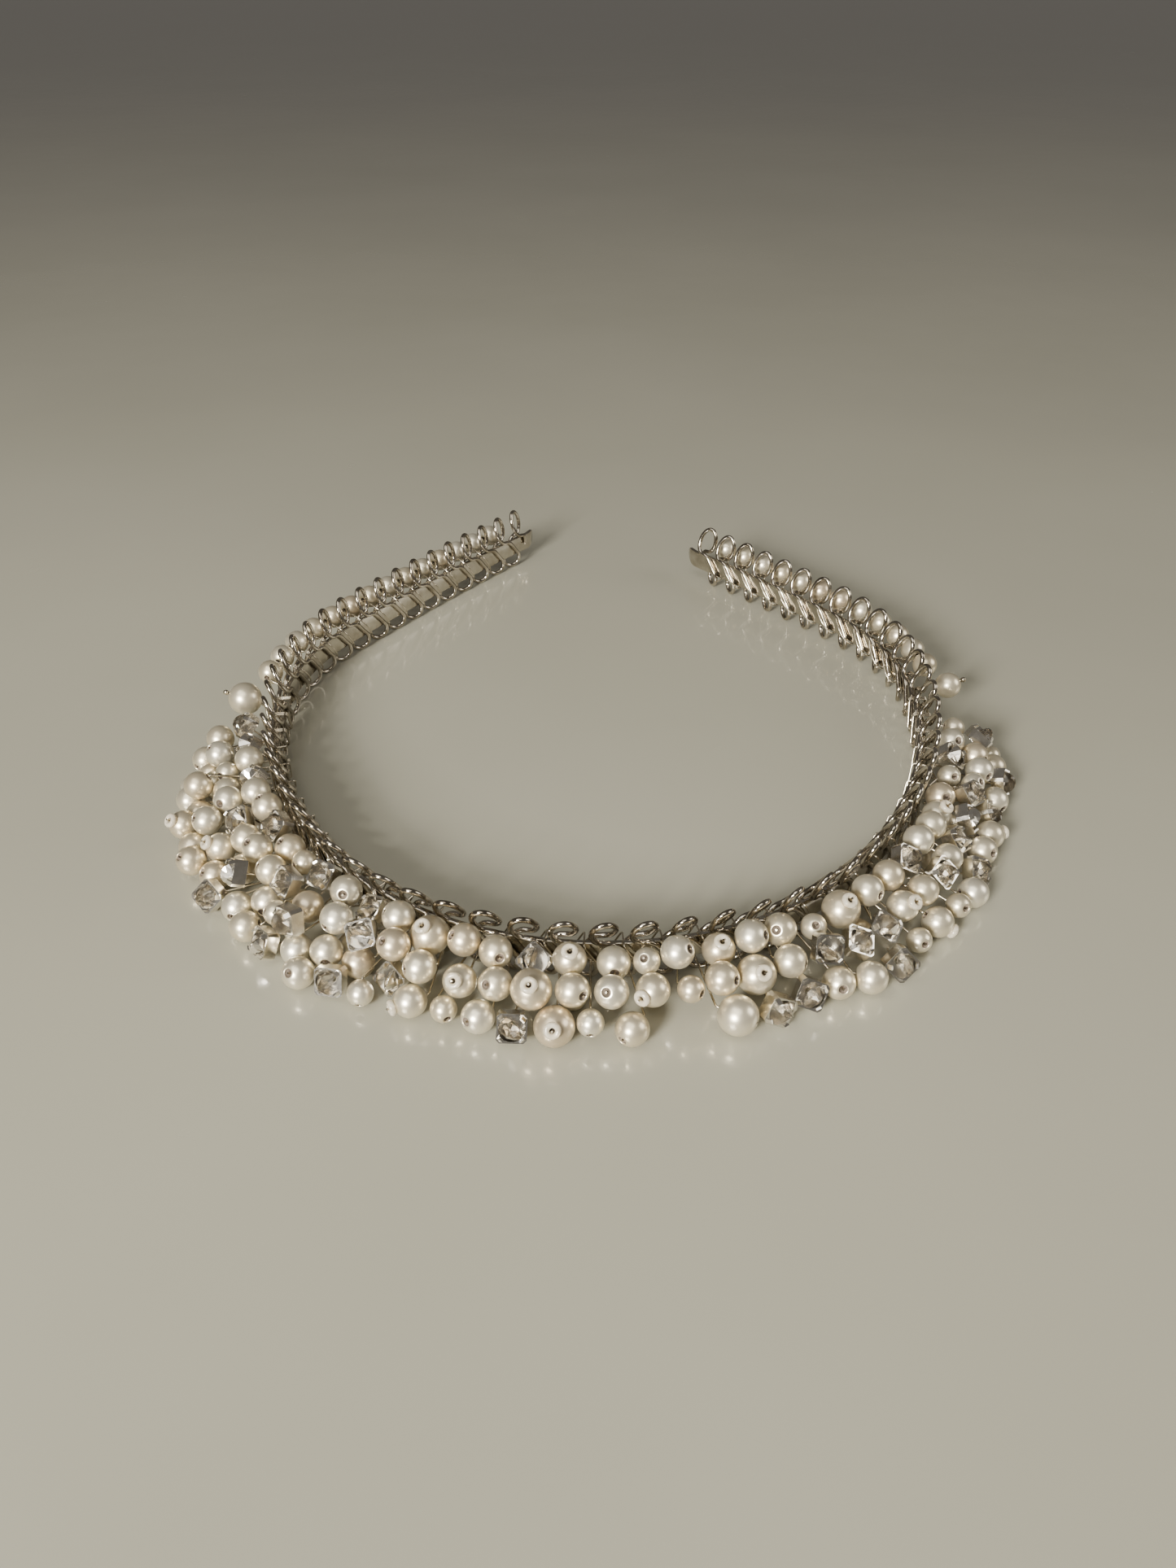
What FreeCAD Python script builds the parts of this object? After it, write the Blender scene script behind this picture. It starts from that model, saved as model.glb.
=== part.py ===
"""Bridal tiara: an open oval headband of flat strip, wound with a looped wire and beaded.

A flat sprung strip is bent to an open oval.  One continuous round wire is wound around it and
turned into a ring at each edge, so that a picket of rings stands up and a second one hangs down.
Pearls are strung along the outside of both arms.  A cluster of drilled pearls and of claw-set
crystals is wired to the outside of the front.  A single pearl turns on a bent wire at each end
of the cluster.

Frame: millimetres, +Z up, the beaded front towards -Y and the open back towards +Y.  In names,
left is -X and right is +X.  The tiara lies on z = 0 and the origin is under the middle of its box.
Places on the band are given as (s, n, z): s is the distance along the strip from the middle of
the front, positive towards the right, and n is the distance outwards from the middle of the strip.
"""
import FreeCAD, Part
import math
import os
import random
from FreeCAD import Vector

# ---------------------------------------------------------------- driving dimensions, mm
OVAL_CENTRE = Vector(0.4, 5.46, 0.0)
FRONT_DEPTH = 71.0           # from the oval's centre to the middle of the strip in front
# The band's course on each side, from the middle of the front: arcs as (radius, degrees turned).
# The last arc, nearly straight, runs on to the tip.
COURSE = {"left": ((56.0, 50.0), (79.0, 38.0), (50.0, 36.0), (600.0, 10.0)),
          "right": ((56.0, 50.0), (79.0, 43.0), (50.0, 36.0), (600.0, 10.0))}

STRIP_THICKNESS = 0.8
STRIP_BOTTOM = 3.0
STRIP_TOP = 7.0
STRIP_MIDDLE = 0.5 * (STRIP_BOTTOM + STRIP_TOP)
TOUCH = 1.0e-9               # keeps a point of the strip on its own side of a join between arcs
TIP_RUN = 2.4                # from an arm's last upper ring to where its tip begins to turn out
TIP_CURL_RADIUS = 6.0
TIP_CURL_TURN = 34.0         # degrees
TIP_LIFT = 0.8
# How the tip narrows: (share of its length, half its height).
TIP_SHAPE = ((0.0, 2.0), (0.3, 1.96), (0.55, 1.8), (0.75, 1.5), (0.9, 1.05), (1.0, 0.5))

LOOP_PITCH = 5.72
LAST_LOOP = {"left": -33, "right": 31}
LOOP_WIRE_RADIUS = 0.44
LOOP_WIRE_OFFSET = 0.9       # from the middle of the strip to the middle of the wire
TOP_RUN_Z = STRIP_TOP + LOOP_WIRE_RADIUS
UPPER_RING_HALF_WIDTH = 1.75
UPPER_RING_HALF_HEIGHT = 2.7
UPPER_RING_LEAN = 17.0       # degrees outwards on the arms
FRONT_RING_LEAN = 28.0       # degrees outwards in the middle of the front
LOWER_RING_HALF_WIDTH = 1.8
LOWER_RING_HALF_HEIGHT = 2.0
LOWER_RING_TWIST = 1.6       # keeps the sides of a lower ring off the strip they straddle
RING_CORNERS = 8

FLEX_LOOP = {"left": -18, "right": 19}     # the first upper ring after each flexing cut
FLEX_BEFORE_RING = 0.6       # from the cut to the middle of that ring
FLEX_GAP = 0.3               # gap between the front's solids and the arm's

ARM_PEARL_DIAMETER = 4.8
ARM_PEARL_HOLE = 1.0
ARM_PEARL_N = 4.3
ARM_PEARL_Z = 8.0
# Places of the arms' pearls, in loops: at the rings on the left, between them on the right.
ARM_PEARL_LOOPS = {"left": [float(loop) for loop in range(-32, -18)],
                   "right": [loop + 0.5 for loop in range(19, 31)]}

FINE_WIRE_RADIUS = 0.15
FINE_WIRE_N = 1.66           # lies on the outside of the looped wire
FINE_WIRE_TOP = 7.55
FINE_WIRE_BOTTOM = 2.5
TIE_THROUGH_RING_Z = 8.15    # a tie that passes through an upper ring, above its crossed foot
TIE_HOOK = Vector(0.2, 0.45, 0.5)          # half the step along, reach past the strung wire, half the rise
WRAP_SHIFT = 0.37            # between the parallel turns of a wrap

CLUSTER_START, CLUSTER_END = -91.0, 92.0
STOPPERED = "qL"             # the kinds of pearl that carry a seed bead
OUTER_ROW_START, OUTER_ROW_END = -84.0, -27.0
PEARL_RADIUS = {"p": 2.5, "q": 2.5, "L": 3.0, "s": 2.0}
PEARL_HOLE = {"p": 1.3, "q": 1.3, "L": 1.5, "s": 1.1}
SETTING_RADIUS = 2.85        # room that a claw setting takes up
BEAD_GAP = 0.08
CLUSTER_TOP = 11.7
STEM_RADIUS = 0.16
STEM_ROOT_N = 2.05
SEED_RADIUS = 1.15
SEED_HALF_THICKNESS = 0.55
SEED_HOLE = 0.7
SEED_SINK = 0.12             # how far a seed bead's underside is dished over its pearl

END_PEARLS = {"left": dict(s=-99.0, n=6.6, z=8.4, radius=3.15),
              "right": dict(s=103.5, n=6.3, z=8.4, radius=2.5)}
END_PEARL_HOLE = 0.8
END_STEM_RADIUS = 0.25
END_NUB_RADIUS = 0.52

CUP_HALF = 2.15
CUP_FLOOR = -1.35
CUP_RIM = 0.75
CUP_BORE = 1.95
CUP_CHAMFER = 0.45
CUP_FLOOR_THICKNESS = 0.25
CUP_WIRE_HOLE = 0.5
CLAW_SIZE = Vector(0.75, 0.3, 1.0)
CLAW_FOOT = Vector(0.0, 2.42, CUP_RIM - 0.2)
CLAW_LEAN = 28.0             # degrees inwards
STONE_GIRDLE = 1.88
STONE_GIRDLE_Z = 0.4
STONE_GIRDLE_HALF = 0.06
STONE_TABLE = 1.12
STONE_TABLE_Z = 1.1
STONE_CULET_Z = -1.0

# ---------------------------------------------------------------- beading pattern
# One letter for each bead, from the left end of the cluster to the right: p and q are 5 mm pearls,
# L is a 6 mm and s a 4 mm pearl, c is a crystal in its claw setting, and a dot is a place left
# empty.  A small stopper bead sits on the outer end of q and L pearls.
ROWS = {
    "top":    "ccpcppcpscpcpLppcqpspqppsLppcppqpscps",
    "middle": "ppsppcpppcppcppqpLppqspLpcccqpcpcccsppc",
    "low":    "psppspqpcpscppcqspcLsp..Lccppcsqspcpqcpcps",
    "outer":  "sppqpppcppcppcs",
    "under":  "s.s.s.s.s.s.s.s.s.s.s.s.s.s.s.s.s.s",
}
# Where each row runs across the band, as (n, z), and where it runs in the left-hand swell.
ROW_PLACES = {
    "top":    ((5.1, 8.0), (5.5, 8.6)),
    "middle": ((9.2, 6.2), (9.9, 7.4)),
    "low":    ((12.6, 2.9), (13.6, 5.4)),
    "outer":  ((14.0, 3.0), (16.4, 2.9)),
    "under":  ((6.0, 2.6), (8.2, 2.7)),
}
SWELL = (-86.0, -26.0, 16.0)               # from, to, and the length it rises over
RIGHT_SWELL = (22.0, 72.0, 14.0)
RIGHT_SWELL_STRETCH = 1.17                 # how much wider the rows spread there
PLACE_JITTER = 0.8
SEED = 11

# ---------------------------------------------------------------- how beads and stems make room
TABLE_GAP = 0.3              # under the lowest beads
WIRE_REACH = 2.0             # how far the looped and fine wires stand out from the strip's middle
RING_SIDE_Z = 9.5
RING_SLOPE = 0.5
NEAR = 12.0                  # beads further apart than this along the band never touch
SETTLE_ROUNDS = 500
HOMING_ROUNDS = 300
HOMING = 0.03                # share of its way home that a bead is drawn back each round
SETTLE_EXTRA = 0.002
STEM_TO_BEAD = 0.06
STEM_TO_STEM = 2.4 * STEM_RADIUS
STEM_REACH = 30.0
BEHIND_BEAD = 0.35           # from a bead's inner side to the bend in its stem
SEED_ROOM = 0.04
ROOT_SHIFTS = (0.0, 1.2, -1.2, 2.4, -2.4, 3.6, -3.6, 4.8, -4.8, 6.5, -6.5, 8.0, -8.0)
ROOT_HEIGHTS = (5.2, 4.2, 6.2, 3.4, 7.0)
STONE_RISE = {"top": 0.95, "middle": 0.85, "low": 0.45, "outer": 0.5}
STONE_LEAN = 0.5


# ---------------------------------------------------------------- the band's course
def smooth_step(value, low, high):
    share = min(1.0, max(0.0, (value - low) / (high - low)))
    return share * share * (3.0 - 2.0 * share)


def hump(value, low, high, ramp):
    return smooth_step(value, low, low + ramp) * (1.0 - smooth_step(value, high - ramp, high))


def outward_of(heading):
    return Vector(math.sin(heading), -math.cos(heading), 0)


def course_arcs(side):
    """The arcs of one side, as (s, heading, centre, radius) where each begins, seen to the right."""
    arcs = []
    s, heading, spot = 0.0, 0.0, Vector(0, -FRONT_DEPTH, 0)
    for radius, degrees in COURSE[side]:
        centre = spot - outward_of(heading) * radius
        arcs.append((s, heading, centre, radius))
        s += radius * math.radians(degrees)
        heading += math.radians(degrees)
        spot = centre + outward_of(heading) * radius
    return arcs


COURSE_ARCS = {side: course_arcs(side) for side in COURSE}


def side_of(s):
    return "right" if s >= 0.0 else "left"


def arc_at(s):
    """Centre, radius and heading (radians, 0 at the front) of the band's arc at s."""
    sign = 1.0 if s >= 0.0 else -1.0
    start, heading, centre, radius = [arc for arc in COURSE_ARCS[side_of(s)] if arc[0] <= abs(s)][-1]
    heading += (abs(s) - start) / radius
    return OVAL_CENTRE + Vector(sign * centre.x, centre.y, 0), radius, sign * heading


def outwards(s):
    return outward_of(arc_at(s)[2])


def along(s):
    heading = arc_at(s)[2]
    return Vector(math.cos(heading), math.sin(heading), 0)


def place(s, n, z):
    """The point that is s along the strip, n outwards and z up."""
    centre, radius, _ = arc_at(s)
    return centre + outwards(s) * (radius + n) + Vector(0, 0, z)


def distance_outwards(point):
    """How far a point beside the front stands out from the middle of the strip."""
    offset = point - OVAL_CENTRE
    front, side = COURSE_ARCS[side_of(offset.x)][:2]
    _, turnover, centre, radius = side
    x, y = abs(offset.x) - centre.x, offset.y - centre.y
    if math.atan2(x, -y) >= turnover:
        return math.hypot(x, y) - radius
    _, _, centre, radius = front
    return math.hypot(offset.x - centre.x, offset.y - centre.y) - radius


# ---------------------------------------------------------------- wire
def unit(vector):
    return vector * (1.0 / vector.Length)


def far_circle(face, point):
    """The circle at the end of a tube face whose middle is at point, as a new edge."""
    rounds = [edge for edge in face.Edges if edge.isClosed()]
    return min(rounds, key=lambda edge: (edge.Curve.Center - point).Length).Curve.copy().toShape()


def wire(points, radius, largest_bend=1.0e3):
    """A round wire through points: straight runs joined by arcs that touch them."""
    profile = Part.Circle(points[0], unit(points[1] - points[0]), radius).toShape()
    faces = [Part.Face(Part.Wire([profile]))]
    here = points[0]

    def go_straight(run):
        nonlocal profile
        if run.Length > 1.0e-6:
            faces.append(profile.extrude(run))
            profile = far_circle(faces[-1], here + run)

    for before, corner, after in zip(points, points[1:], points[2:]):
        way_in = unit(corner - before)
        way_out = unit(after - corner)
        turn = way_in.getAngle(way_out)
        if turn < 1.0e-3:
            continue
        room = 0.5 * min((corner - before).Length, (after - corner).Length)
        tangent = min(room, largest_bend * math.tan(turn / 2.0))
        bend = tangent / math.tan(turn / 2.0)
        start = corner - way_in * tangent
        go_straight(start - here)
        axis = unit(way_in.cross(way_out))
        hub = start + axis.cross(way_in) * bend
        here = corner + way_out * tangent
        faces.append(profile.revolve(hub, axis, math.degrees(turn)))
        profile = far_circle(faces[-1], here)
    go_straight(points[-1] - here)
    faces.append(Part.Face(Part.Wire([profile])))
    shell = Part.makeShell(faces)
    shell.sewShape()
    solid = Part.makeSolid(shell)
    if solid.Volume < 0.0:
        solid.reverse()
    return solid


def export(node, solids):
    shape = solids[0] if len(solids) == 1 else Part.makeCompound(solids)
    shape.exportStep("parts/%s.step" % node)


# ---------------------------------------------------------------- strip
def strip_edge(start, end, n):
    """Edges of the line that runs n outwards of the strip's middle, from start to end."""
    joins = [-arc[0] for arc in COURSE_ARCS["left"][1:]] + [arc[0] for arc in COURSE_ARCS["right"][1:]]
    stops = [start] + sorted(s for s in joins if start < s < end) + [end]
    edges = []
    for low, high in zip(stops, stops[1:]):
        ends = [place(s, n, STRIP_BOTTOM) for s in (low + TOUCH, 0.5 * (low + high), high - TOUCH)]
        edges.append(Part.Arc(*ends).toShape())
    return edges


def strip(start, end):
    """The flat strip from start to end."""
    half = STRIP_THICKNESS / 2.0
    outer = strip_edge(start, end, half)
    inner = strip_edge(start, end, -half)
    close = [Part.makeLine(outer[0].Vertexes[0].Point, inner[0].Vertexes[0].Point),
             Part.makeLine(outer[-1].Vertexes[-1].Point, inner[-1].Vertexes[-1].Point)]
    outline = Part.Wire(Part.__sortEdges__(outer + inner + close))
    return Part.Face(outline).extrude(Vector(0, 0, STRIP_TOP - STRIP_BOTTOM))


def tip_s(side):
    sign = 1.0 if side == "right" else -1.0
    return LAST_LOOP[side] * LOOP_PITCH + sign * TIP_RUN


def strip_tip(side):
    """The narrow rounded end that turns outwards past the last loop."""
    root_s = tip_s(side)
    forwards = along(root_s) * (1.0 if side == "right" else -1.0)
    out = outwards(root_s)
    root = place(root_s, 0.0, 0.0)
    sections = []
    for share, half_height in TIP_SHAPE:
        turn = math.radians(TIP_CURL_TURN) * share
        spot = root + forwards * (TIP_CURL_RADIUS * math.sin(turn))
        spot += out * (TIP_CURL_RADIUS * (1.0 - math.cos(turn)))
        spot.z = STRIP_MIDDLE + TIP_LIFT * share ** 2
        across = (out * math.cos(turn) - forwards * math.sin(turn)) * (STRIP_THICKNESS / 2.0)
        up = Vector(0, 0, half_height)
        corners = [spot - across - up, spot + across - up, spot + across + up, spot - across + up]
        sections.append(Part.makePolygon(corners + corners[:1]))
    return Part.makeLoft(sections, True, True)


# ---------------------------------------------------------------- looped wire
def ring_lean(s):
    """How far the upper rings lean outwards at s, in radians."""
    share = smooth_step(abs(s), 0.25 * CLUSTER_END, CLUSTER_END)
    return math.radians(FRONT_RING_LEAN + (UPPER_RING_LEAN - FRONT_RING_LEAN) * share)


def ring_points(middle_s, upper):
    """Corners of one ring, whose arcs touch its ellipse half way between them."""
    half_width = UPPER_RING_HALF_WIDTH if upper else LOWER_RING_HALF_WIDTH
    half_height = UPPER_RING_HALF_HEIGHT if upper else LOWER_RING_HALF_HEIGHT
    centre_z = TOP_RUN_Z + half_height if upper else LOOP_WIRE_RADIUS + half_height
    twist = 1.0 if upper else LOWER_RING_TWIST
    way = 1.0 if upper else -1.0
    spread = 1.0 / math.cos(math.pi / RING_CORNERS)
    points = []
    for corner in range(RING_CORNERS):
        angle = way * (-0.5 * math.pi + (corner + 0.5) * 2.0 * math.pi / RING_CORNERS)
        t = half_width * spread * math.cos(angle)
        z = centre_z + half_height * spread * math.sin(angle)
        across = twist * math.cos(math.pi * corner / (RING_CORNERS - 1))
        n = -way * LOOP_WIRE_OFFSET * max(-1.0, min(1.0, across))
        if upper:
            n += (z - TOP_RUN_Z) * math.tan(ring_lean(middle_s))
        points.append(place(middle_s + t, n, z))
    return points


def inner_top(loop):
    """Where the wire comes up inside the strip, before the upper ring of a loop."""
    return place((loop - 0.25) * LOOP_PITCH, -LOOP_WIRE_OFFSET, TOP_RUN_Z)


def loop_points(loop):
    """One pitch of the wire: upper ring, slanting down the outside, lower ring."""
    points = [inner_top(loop)]
    points += ring_points(loop * LOOP_PITCH, True)
    points.append(place((loop + 0.25) * LOOP_PITCH, LOOP_WIRE_OFFSET, TOP_RUN_Z))
    return points + ring_points((loop + 0.5) * LOOP_PITCH, False)


def flex_s(side):
    """Where the arm's elastic bend is gathered: just before the middle of an upper ring."""
    return FLEX_LOOP[side] * LOOP_PITCH - FLEX_BEFORE_RING


def looped_wire(first, last):
    """The wire from loop first to loop last, with free ends half way down the strip at the tips
    and cut ends over the strip's own cuts elsewhere."""
    points = []
    for loop in range(first, last + 1):
        points += loop_points(loop)
    half_gap = 0.5 * FLEX_GAP
    if first == LAST_LOOP["left"]:
        points.insert(0, place((first - 0.25) * LOOP_PITCH, -LOOP_WIRE_OFFSET, STRIP_MIDDLE))
    else:
        cut_s = first * LOOP_PITCH - FLEX_BEFORE_RING
        points[0] = place(cut_s + half_gap, -LOOP_WIRE_OFFSET, TOP_RUN_Z)
    if last == LAST_LOOP["right"]:
        del points[-RING_CORNERS:]
        points.append(place((last + 0.25) * LOOP_PITCH, LOOP_WIRE_OFFSET, STRIP_MIDDLE))
    else:
        cut_s = (last + 1) * LOOP_PITCH - FLEX_BEFORE_RING
        points += [inner_top(last + 1), place(cut_s - half_gap, -LOOP_WIRE_OFFSET, TOP_RUN_Z)]
    return wire(points, LOOP_WIRE_RADIUS)


# ---------------------------------------------------------------- drilled beads
def turn_to(shape, centre, axis):
    """Move a shape made at the origin, facing +Z, to centre and face it along axis."""
    shape.Placement = FreeCAD.Placement(centre, FreeCAD.Rotation(Vector(0, 0, 1), axis)).multiply(shape.Placement)
    return shape


def drilled_ball(centre, radius, hole, axis):
    """A ball with a straight hole, turned from the outline of its half section."""
    bore = hole / 2.0
    height = math.sqrt(radius ** 2 - bore ** 2)
    low, high = Vector(bore, 0, -height), Vector(bore, 0, height)
    outline = Part.Wire([Part.Arc(low, Vector(radius, 0, 0), high).toShape(), Part.makeLine(high, low)])
    ball = Part.Face(outline).revolve(Vector(0, 0, 0), Vector(0, 0, 1), 360)
    return turn_to(ball, centre, axis)


def arm_pearl_centre(loop):
    return place(loop * LOOP_PITCH, ARM_PEARL_N, ARM_PEARL_Z)


def arm_pearls(side):
    return [drilled_ball(arm_pearl_centre(loop), ARM_PEARL_DIAMETER / 2.0, ARM_PEARL_HOLE,
                         along(loop * LOOP_PITCH)) for loop in ARM_PEARL_LOOPS[side]]


def stringing_wire(side):
    """The wire through the arm's pearls, with its ends turned in to the strip."""
    loops = ARM_PEARL_LOOPS[side]
    first = (loops[0] - 0.5) * LOOP_PITCH
    last = (loops[-1] + 0.5) * LOOP_PITCH
    end_z = ARM_PEARL_Z - 0.8
    points = [place(first, STEM_ROOT_N, end_z), place(first + 0.2, ARM_PEARL_N, ARM_PEARL_Z)]
    points += [arm_pearl_centre(loop) for loop in loops]
    points += [place(last - 0.2, ARM_PEARL_N, ARM_PEARL_Z), place(last, STEM_ROOT_N, end_z)]
    return wire(points, FINE_WIRE_RADIUS, 1.0)


# ---------------------------------------------------------------- fine wire round the band
def binding_turn(loop, shift):
    """One turn round the band: over its top between two upper rings, under it between two lower."""
    top = (loop + 0.5) * LOOP_PITCH + shift
    bottom = (loop + 1.0) * LOOP_PITCH + shift
    return [place(top, -FINE_WIRE_N, FINE_WIRE_TOP), place(top, FINE_WIRE_N, FINE_WIRE_TOP),
            place(bottom, FINE_WIRE_N, FINE_WIRE_BOTTOM), place(bottom, -FINE_WIRE_N, FINE_WIRE_BOTTOM)]


def binding_wire(first, last, shift=0.0):
    points = []
    for loop in range(first, last + 1):
        points += binding_turn(loop, shift)
    return wire(points, FINE_WIRE_RADIUS, 0.6)


def tie_wire(side):
    """A turn round the band and the strung wire in each gap between the arm's pearls.

    Where the gaps are between upper rings, the turns pass between the rings; where they are at
    the rings, the turns pass through them.
    """
    points = []
    loops = ARM_PEARL_LOOPS[side]
    for loop in loops[:-1]:
        gap = loop + 0.5
        through = gap == int(gap)
        top = gap * LOOP_PITCH
        bottom = top if through else top + 0.5 * LOOP_PITCH
        top_z = TIE_THROUGH_RING_Z if through else FINE_WIRE_TOP
        reach = ARM_PEARL_N + TIE_HOOK.y
        points += [place(top, -FINE_WIRE_N, top_z),
                   place(top - TIE_HOOK.x, reach, ARM_PEARL_Z + TIE_HOOK.z),
                   place(top + TIE_HOOK.x, reach, ARM_PEARL_Z - TIE_HOOK.z),
                   place(top + TIE_HOOK.x, FINE_WIRE_N, STRIP_TOP),
                   place(bottom, FINE_WIRE_N, FINE_WIRE_BOTTOM),
                   place(bottom, -FINE_WIRE_N, FINE_WIRE_BOTTOM)]
    return wire(points, FINE_WIRE_RADIUS, 0.6)


# ---------------------------------------------------------------- the cluster's beads
def row_place(row, s):
    """Where a row runs across the band at s, as (n, z)."""
    plain, swollen = ROW_PLACES[row]
    swell = hump(s, *SWELL)
    n = plain[0] + (swollen[0] - plain[0]) * swell
    z = plain[1] + (swollen[1] - plain[1]) * swell
    return n * (1.0 + (RIGHT_SWELL_STRETCH - 1.0) * hump(s, *RIGHT_SWELL)), z


def lay_out_beads():
    """Every bead of the cluster at its place in its row, a little unevenly."""
    random.seed(SEED)
    beads = []
    for row, pattern in ROWS.items():
        start, end = (OUTER_ROW_START, OUTER_ROW_END) if row == "outer" else (CLUSTER_START, CLUSTER_END)
        for column, kind in enumerate(pattern):
            s = start + (end - start) * (column + 0.5) / len(pattern) + random.uniform(-1, 1) * PLACE_JITTER
            n, z = row_place(row, s)
            n += random.uniform(-1, 1) * PLACE_JITTER
            z += random.uniform(-1, 1) * PLACE_JITTER
            if kind != ".":
                radius = PEARL_RADIUS.get(kind, SETTING_RADIUS)
                centre = place(s, n, z)
                beads.append(dict(row=row, kind=kind, radius=radius, centre=centre, home=centre, s=s))
    return beads


def keep_off_band(bead):
    """Push a bead off the looped wire, whose rings lean out above RING_SIDE_Z, and off the table."""
    centre, radius = bead["centre"], bead["radius"]
    bead["centre"].z = min(max(centre.z, radius + TABLE_GAP), CLUSTER_TOP - radius)
    least = radius + WIRE_REACH + max(0.0, centre.z + 0.5 * radius - RING_SIDE_Z) * RING_SLOPE
    short = least - distance_outwards(centre)
    if short > 0.0:
        bead["centre"] = centre + outwards(bead["s"]) * short


def settle(beads):
    """Push overlapping beads apart until each has its own room."""
    pairs = [(a, b) for i, a in enumerate(beads) for b in beads[i + 1:] if abs(a["s"] - b["s"]) < NEAR]
    for turn in range(SETTLE_ROUNDS):
        pull = HOMING if turn < HOMING_ROUNDS else 0.0
        for bead in beads:
            bead["centre"] = bead["centre"] + (bead["home"] - bead["centre"]) * pull
        for a, b in pairs:
            apart = b["centre"] - a["centre"]
            short = a["radius"] + b["radius"] + BEAD_GAP - apart.Length
            if short > 0.0:
                push = unit(apart) * (0.5 * short + SETTLE_EXTRA)
                a["centre"] = a["centre"] - push
                b["centre"] = b["centre"] + push
        for bead in beads:
            keep_off_band(bead)


# ---------------------------------------------------------------- stems
def distance_to_run(point, start, end):
    run = end - start
    share = (point - start).dot(run) / run.dot(run)
    return (point - (start + run * min(1.0, max(0.0, share)))).Length


def runs_apart(a, b, c, d):
    """Least distance between the straight runs a-b and c-d, sampled closely enough for wire."""
    steps = 24
    return min(distance_to_run(a + (b - a) * (i / steps), c, d) for i in range(steps + 1))


def clear_run(start, end, own, beads, stems):
    """Whether a stem can run straight from start to end."""
    for bead in beads:
        if bead is not own:
            if distance_to_run(bead["centre"], start, end) < bead["radius"] + STEM_RADIUS + STEM_TO_BEAD:
                return False
    for stem in stems:
        for low, high in zip(stem, stem[1:]):
            if (low - start).Length < STEM_REACH and runs_apart(start, end, low, high) < STEM_TO_STEM:
                return False
    return True


def clear_ball(centre, radius, own, beads):
    return all(bead is own or (bead["centre"] - centre).Length > radius + bead["radius"] + SEED_ROOM
               for bead in beads)


def stem_roots(bead):
    """Places on the band's outer face that a bead's stem can start from, nearest first."""
    roots = [(abs(shift) + 0.6 * abs(z - ROOT_HEIGHTS[0]), bead["s"] + shift, z)
             for shift in ROOT_SHIFTS for z in ROOT_HEIGHTS]
    return [place(s, STEM_ROOT_N, z) for _, s, z in sorted(roots)]


def crystal_axis(bead):
    """The way a crystal faces: out of the cluster and well up."""
    lean = Vector(random.uniform(-1, 1), random.uniform(-1, 1), random.uniform(-0.4, 0.6))
    return unit(outwards(bead["s"]) + Vector(0, 0, STONE_RISE[bead["row"]]) + lean * STONE_LEAN)


def pearl_axes(bead, root):
    """Ways a pearl's hole can point: a stoppered pearl looks up first, others take any lean."""
    straight = unit(bead["centre"] - root)
    tangent, out = along(bead["s"]), outwards(bead["s"])
    raised = [Vector(0, 0, 0.9), Vector(0, 0, 0.5)]
    others = [tangent * 0.9, tangent * -0.9, out * 0.5 - Vector(0, 0, 0.5), Vector(0, 0, -0.8),
              tangent * 0.5 + Vector(0, 0, -0.4), tangent * -0.5 + Vector(0, 0, 0.6)]
    random.shuffle(others)
    leans = raised + others if bead["kind"] in STOPPERED else others + raised
    return [unit(straight + lean) for lean in leans + [Vector(0, 0, 0)]]


def stem_fits(bead, route, beads, stems):
    root, behind, centre = route
    return (clear_run(root, behind, bead, beads, stems)
            and clear_run(behind, centre, bead, beads, stems)
            and distance_to_run(centre, root, behind) > bead["radius"] + STEM_RADIUS + STEM_TO_BEAD)


def find_stem(bead, beads, stems):
    """Give a bead the first hole axis and stem that reach the band through the gaps."""
    for root in stem_roots(bead):
        axes = [bead["axis"]] if bead["kind"] == "c" else pearl_axes(bead, root)
        for axis in axes:
            route = [root, bead["centre"] - axis * (bead["radius"] + BEHIND_BEAD), bead["centre"]]
            if stem_fits(bead, route, beads, stems):
                bead["axis"], bead["stem"] = axis, route
                return


def run_stems(beads):
    stems = []
    for bead in sorted(beads, key=lambda b: distance_outwards(b["centre"])):
        bead["stem"] = None
        bead["axis"] = crystal_axis(bead) if bead["kind"] == "c" else None
        find_stem(bead, beads, stems)
        if bead["stem"]:
            stems.append(bead["stem"])
        else:
            bead["axis"] = bead["axis"] or unit(outwards(bead["s"]) + Vector(0, 0, 0.6))
    print("beads", len(beads), "stems", len(stems))


def stem_solid(bead, head):
    """The stem: from the band, through the bead, to just past its outer end.

    A bead that no stem can reach through the others is held by them, and has a short pin.
    """
    outer_end = bead["centre"] + bead["axis"] * head
    if not bead["stem"]:
        inner_end = bead["centre"] - bead["axis"] * (bead["radius"] + STEM_RADIUS)
        return wire([inner_end, outer_end], STEM_RADIUS)
    root, behind, _ = bead["stem"]
    return wire([root, behind, outer_end], STEM_RADIUS, 0.6)


# ---------------------------------------------------------------- claw setting and crystal
def claw(corner):
    """One claw, leaned in over the edge of the stone from a corner of the cup."""
    width, thickness, height = CLAW_SIZE
    piece = Part.makeBox(width, thickness, height, Vector(-width / 2.0, -thickness / 2.0, 0))
    piece.rotate(Vector(0, 0, 0), Vector(1, 0, 0), CLAW_LEAN)
    piece.translate(CLAW_FOOT)
    piece.rotate(Vector(0, 0, 0), Vector(0, 0, 1), 45.0 + 90.0 * corner)
    return piece


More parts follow.
